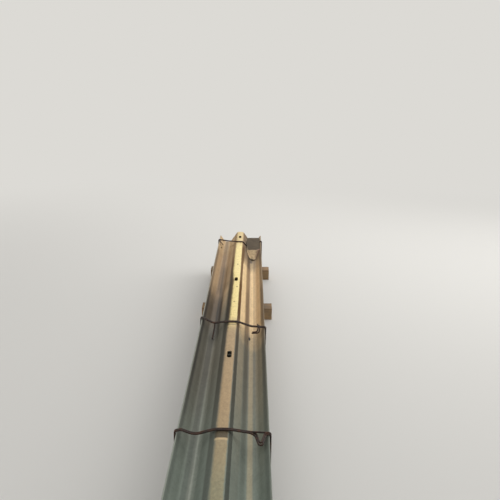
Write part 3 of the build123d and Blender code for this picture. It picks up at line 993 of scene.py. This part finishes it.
class BUNDLE_OT_ties(bpy.types.Operator):
    """Bend the doubled wire ties over the bundle"""
    bl_idname = "bundle.ties"
    bl_label = "Bend the ties"

    def execute(self, context):
        ties, rails = settings().ties, settings().rails
        rusty = shade("rusty_wire", rusty_wire)
        tree = wire_tree()
        top_low, top_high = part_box(TOP_RAIL)
        under_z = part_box(RAILS[0])[0].z
        top, far_end = top_low.z + rails.sheet / 2, top_high.y
        for number, (node, (_, left, crest, right, _)) in enumerate(TIE_PLACES.items()):
            askew = max(abs(left - crest), abs(right - crest)) / (rails.half_width - rails.crest_half_flat)
            apart = (ties.wire + ties.gap) / 2 * math.hypot(1, askew)
            strands = [tie_strand(node, shift, reach, top, far_end, under_z)
                       for shift, reach in ((-apart, TIE_LOOPS.get(node, 0.0)), (apart, 0.0))]
            strands += [[(Vector((x, far_end - from_end, top + z)), bend) for x, from_end, z, bend in tail]
                        for tail in TIE_TAILS.get(node, [])]
            made = grow(f"{node}_wire", line_mesh(f"{node}_wire", strands), tree, {
                "Diameter": ties.wire, "Stray": ties.stray, "Seed": number * 5.1 + 1, "Step": ties.step,
                "Sides": WIRE_SIDES, "Material": rusty})
            seat(settle(made), "rusty_wire", node)
        return {"FINISHED"}


class BUNDLE_OT_bearers(bpy.types.Operator):
    """Saw the timber bearers"""
    bl_idname = "bundle.bearers"
    bl_label = "Saw the bearers"

    def execute(self, context):
        timber = shade("bearer_timber", sawn_softwood)
        for node in BEARERS:
            made = link(f"{node}_sawn", sawn_timber(node, *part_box(node), settings().bearers))
            made.data.materials.append(timber)
            seat(made, "bearer_timber", node)
        return {"FINISHED"}


def sawn_timber(name, low, high, sizes):
    """A closed block between two corners with waned upper edges and uneven sawn faces."""
    span = high - low
    counts = [max(2, round(extent / sizes.cell)) for extent in span]
    points = Points()
    faces = []
    for axis in range(3):
        u, v = (axis + 1) % 3, (axis + 2) % 3
        for end in (0, counts[axis]):
            for i in range(counts[u]):
                for j in range(counts[v]):
                    ring = []
                    for a, b in ((i, j), (i + 1, j), (i + 1, j + 1), (i, j + 1)):
                        place = [0, 0, 0]
                        place[axis], place[u], place[v] = end, a, b
                        ring.append(points.at(tuple(place), [at / count for at, count in zip(place, counts)]))
                    faces.append(ring if end else ring[::-1])
    shares = np.array(points.places)
    places = shares * np.array(span) + np.array(low)
    inward = np.where(shares == 0, 1.0, 0.0) - np.where(shares == 1, 1.0, 0.0)
    seed = sum(ord(letter) for letter in name)
    wave = (np.sin(places @ np.array([31.0, 57.0, 43.0]) + seed)
            + np.sin(places @ np.array([-83.0, 29.0, 71.0])))
    fine = np.random.default_rng(seed).random(len(places))
    depth = sizes.roughness * (0.25 + 0.12 * wave + 0.4 * fine)
    places += inward * depth[:, None]
    upper_edge = (shares[:, 2] == 1) & ((shares[:, 1] == 0) | (shares[:, 1] == 1))
    places[upper_edge] += inward[upper_edge] * np.array([0, sizes.wane / 2, sizes.wane / 2])
    places[shares[:, 2] == 0, 2] = low.z
    return new_mesh(name, places.tolist(), [], faces)


class BUNDLE_OT_card(bpy.types.Operator):
    """Cut the blank card that lies on the far tie"""
    bl_idname = "bundle.card"
    bl_label = "Cut the card"

    def execute(self, context):
        card = link("tag_card_worn", card_mesh(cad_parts["tag_card"], settings().card, settings().rails))
        card.data.materials.append(shade("tag_fibre", fibre_card))
        seat(card, "tag_fibre", "tag_card")
        return {"FINISHED"}


def groove_height(rails, x):
    """Height of a rail's upper face over its valleys' middle, in the right groove."""
    slope = rails.crest_height / (rails.valley_in - rails.crest_half_flat)
    blend = 7 * MM

    def smooth_max(a, b):
        return (a + b + math.sqrt((a - b) ** 2 + blend ** 2)) / 2

    walls = smooth_max((rails.valley_in - x) * slope, (x - rails.valley_out) * slope)
    return smooth_max(0.0, walls) + rails.sheet * 0.9


def card_mesh(node, sizes, rails):
    """A thin card on the packed card's own plane, a little curled, whose near end sags into the groove.

    The attribute "peeled" is 0 on the face, 1 at the near edge and 2 at the flap's tip, and "side" goes
    from -1 to 1 across the card.
    """
    normal = max(node.data.polygons, key=lambda face: face.area).normal.normalized()
    if normal.z < 0:
        normal = -normal
    corners = {tuple(round(value, 6) for value in vertex.co) for vertex in node.data.vertices}
    middle = sum((Vector(corner) for corner in corners), Vector()) / len(corners)
    along = (Vector((0, 1, 0)) - normal * normal.y).normalized()
    across = along.cross(normal)
    valley_x = (rails.valley_in + rails.valley_out) / 2
    valley_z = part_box(TOP_RAIL)[0].z + rails.sheet / 2
    columns, rows, flap_rows = 24, 40, 24
    sheet = []
    for j in range(-flap_rows, rows + 1):
        v = (max(j, 0) / rows - 0.5) * sizes.length
        down = max(-j, 0) / flap_rows
        for i in range(columns + 1):
            share = 2 * i / columns - 1
            u, v_round = share * sizes.width / 2, v
            if v > 0:
                u, v_round = rounded(u, v, sizes)
            lift = sizes.curl * ((2 * v_round / sizes.length) ** 2 * 0.25 - 0.2) * (0.6 + share)
            point = middle + across * u + along * v_round + normal * max(-0.1 * MM, lift) * 0.5
            if down:
                ragged = 1 - 0.4 * share * share + 0.06 * math.sin(i * 2.3) * math.sin(i * 0.9 + 1)
                x = point.x + (valley_x + share * sizes.flap_tip - point.x) * down
                low = valley_z + groove_height(rails, x) + sizes.thickness
                sunk = point.z + (valley_z - 4 * MM - point.z) * down * (2 - down)
                point = Vector((x, point.y - sizes.flap_length * ragged * down, max(low, min(sunk, point.z))))
            peeled = max(0.0, 1 - (v + sizes.length / 2) / (0.25 * sizes.length)) + down
            sheet.append((point, peeled, share))
    stride = columns + 1
    levels = rows + flap_rows
    count = len(sheet)
    points = [point + normal * side * sizes.thickness / 2 for side in (1, -1) for point, _, _ in sheet]
    faces = []
    for j in range(levels):
        for i in range(columns):
            a = j * stride + i
            ring = [a, a + 1, a + stride + 1, a + stride]
            faces += [ring, [count + index for index in reversed(ring)]]
    border = [*range(columns), *(columns + j * stride for j in range(levels))]
    border += [levels * stride + i for i in range(columns, 0, -1)]
    border += [j * stride for j in range(levels, 0, -1)]
    for before, after in zip(border, border[1:] + border[:1]):
        faces.append([before, count + before, count + after, after])
    return new_mesh("tag_card_worn", points, [], faces,
                    peeled=[row[1] for row in sheet] * 2, side=[row[2] for row in sheet] * 2)


def rounded(u, v, sizes):
    """A point of a rectangle drawn in so that the rectangle's corners are round."""
    inner = Vector((sizes.width / 2 - sizes.corner, sizes.length / 2 - sizes.corner))
    over = Vector((max(abs(u) - inner.x, 0), max(abs(v) - inner.y, 0)))
    if over.x > 0 and over.y > 0:
        over *= max(over) / over.length
    return (math.copysign(min(abs(u), inner.x) + over.x, u),
            math.copysign(min(abs(v), inner.y) + over.y, v))


class BUNDLE_OT_stage(bpy.types.Operator):
    """Set the camera, the lamps, the floor and the backdrop"""
    bl_idname = "bundle.stage"
    bl_label = "Set the stage"

    def execute(self, context):
        sizes = settings().stage
        set_camera(sizes)
        set_floor()
        set_lamps()
        set_world(sizes)
        context.scene.view_settings.view_transform = "Standard"
        return {"FINISHED"}


def set_camera(sizes):
    data = bpy.data.cameras.new("camera")
    data.sensor_width = SENSOR
    data.lens = sizes.focal_length / PIXELS * data.sensor_width
    camera = link("camera", data)
    over_valleys = Vector((0, 0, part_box(TOP_RAIL)[0].z + settings().rails.sheet / 2))
    camera.matrix_world = (Matrix.Translation(Vector(sizes.camera) + over_valleys)
                           @ Matrix.Rotation(sizes.yaw, 4, "Z")
                           @ Matrix.Rotation(math.pi / 2 - sizes.pitch, 4, "X")
                           @ Matrix.Rotation(sizes.roll, 4, "Z"))
    bpy.context.scene.camera = camera


def set_floor():
    """A floor that curves up into a backdrop."""
    half_width, front, back, height, bend, steps = 16.0, -12.0, 14.0, 12.0, 3.0, 16
    outline = [(front, 0.0)]
    for i in range(steps + 1):
        turn = math.pi / 2 * i / steps
        outline.append((back - bend + math.sin(turn) * bend, bend - math.cos(turn) * bend))
    outline.append((back, height))
    points = [(x, y, z) for y, z in outline for x in (-half_width, half_width)]
    faces = [(2 * i, 2 * i + 1, 2 * i + 3, 2 * i + 2) for i in range(len(outline) - 1)]
    floor = link("floor", new_mesh("floor", points, [], faces))
    floor.data.shade_smooth()
    floor.data.materials.append(shade("floor", pale_floor))


# Each lamp's place, the point it faces, its width and depth, and its power in watts
LAMPS = {
    "window_box": ((3.4, 2.4, 3.0), (0.0, 0.4, 0.25), (4.5, 5.0), 112),
    "over_box": ((-0.4, -0.6, 4.4), (0.0, 0.0, 0.2), (4.0, 6.0), 42),
    "far_box": ((0.2, 7.0, 3.4), (0.0, 0.6, 0.2), (4.0, 2.5), 112),
    "side_box": ((-4.6, -0.4, 0.9), (0.0, 0.0, 0.2), (5.0, 1.0), 20),
}


def set_lamps():
    for name, (place, target, (width, depth), power) in LAMPS.items():
        data = bpy.data.lights.new(name, "AREA")
        data.shape = "RECTANGLE"
        data.size = width
        data.size_y = depth
        data.energy = power
        lamp = link(name, data)
        lamp.location = place
        lamp.rotation_euler = (Vector(target) - Vector(place)).to_track_quat("-Z", "Y").to_euler()
        lamp.visible_camera = False


def set_world(sizes):
    world = bpy.data.worlds.new("studio")
    world.use_nodes = True
    world.node_tree.nodes.clear()
    graph = Graph(world.node_tree)
    light = graph.node("ShaderNodeBackground", {"Color": (1, 1, 1), "Strength": 0.45})
    shown = graph.node("ShaderNodeBackground", {"Color": sizes.floor, "Strength": 1.0})
    graph.node("ShaderNodeOutputWorld", {"Surface": graph.backed(light, shown)})
    bpy.context.scene.world = world


class BUNDLE_PT_panel(bpy.types.Panel):
    """Sizes, colours and steps of the bundle"""
    bl_idname = "BUNDLE_PT_panel"
    bl_label = "Guardrail bundle"
    bl_space_type = "VIEW_3D"
    bl_region_type = "UI"
    bl_category = "Guardrail"

    def draw(self, context):
        for operator in OPERATORS:
            self.layout.operator(operator.bl_idname)
        for name, group in GROUPS.items():
            box = self.layout.box()
            box.label(text=group.__doc__)
            for prop in group.__annotations__:
                box.prop(getattr(context.scene.guardrail_bundle, name), prop)


OPERATORS = (BUNDLE_OT_rails, BUNDLE_OT_ties, BUNDLE_OT_bearers, BUNDLE_OT_card, BUNDLE_OT_stage)
CLASSES = (*GROUPS.values(), BundleSettings, *OPERATORS, BUNDLE_PT_panel)


def register():
    for item in CLASSES:
        bpy.utils.register_class(item)
    bpy.types.Scene.guardrail_bundle = PointerProperty(type=BundleSettings)


def unregister():
    del bpy.types.Scene.guardrail_bundle
    for item in reversed(CLASSES):
        bpy.utils.unregister_class(item)


def main():
    register()
    bpy.ops.bundle.rails()
    bpy.ops.bundle.ties()
    bpy.ops.bundle.bearers()
    bpy.ops.bundle.card()
    bpy.ops.bundle.stage()


if __name__ == "__main__":
    main()
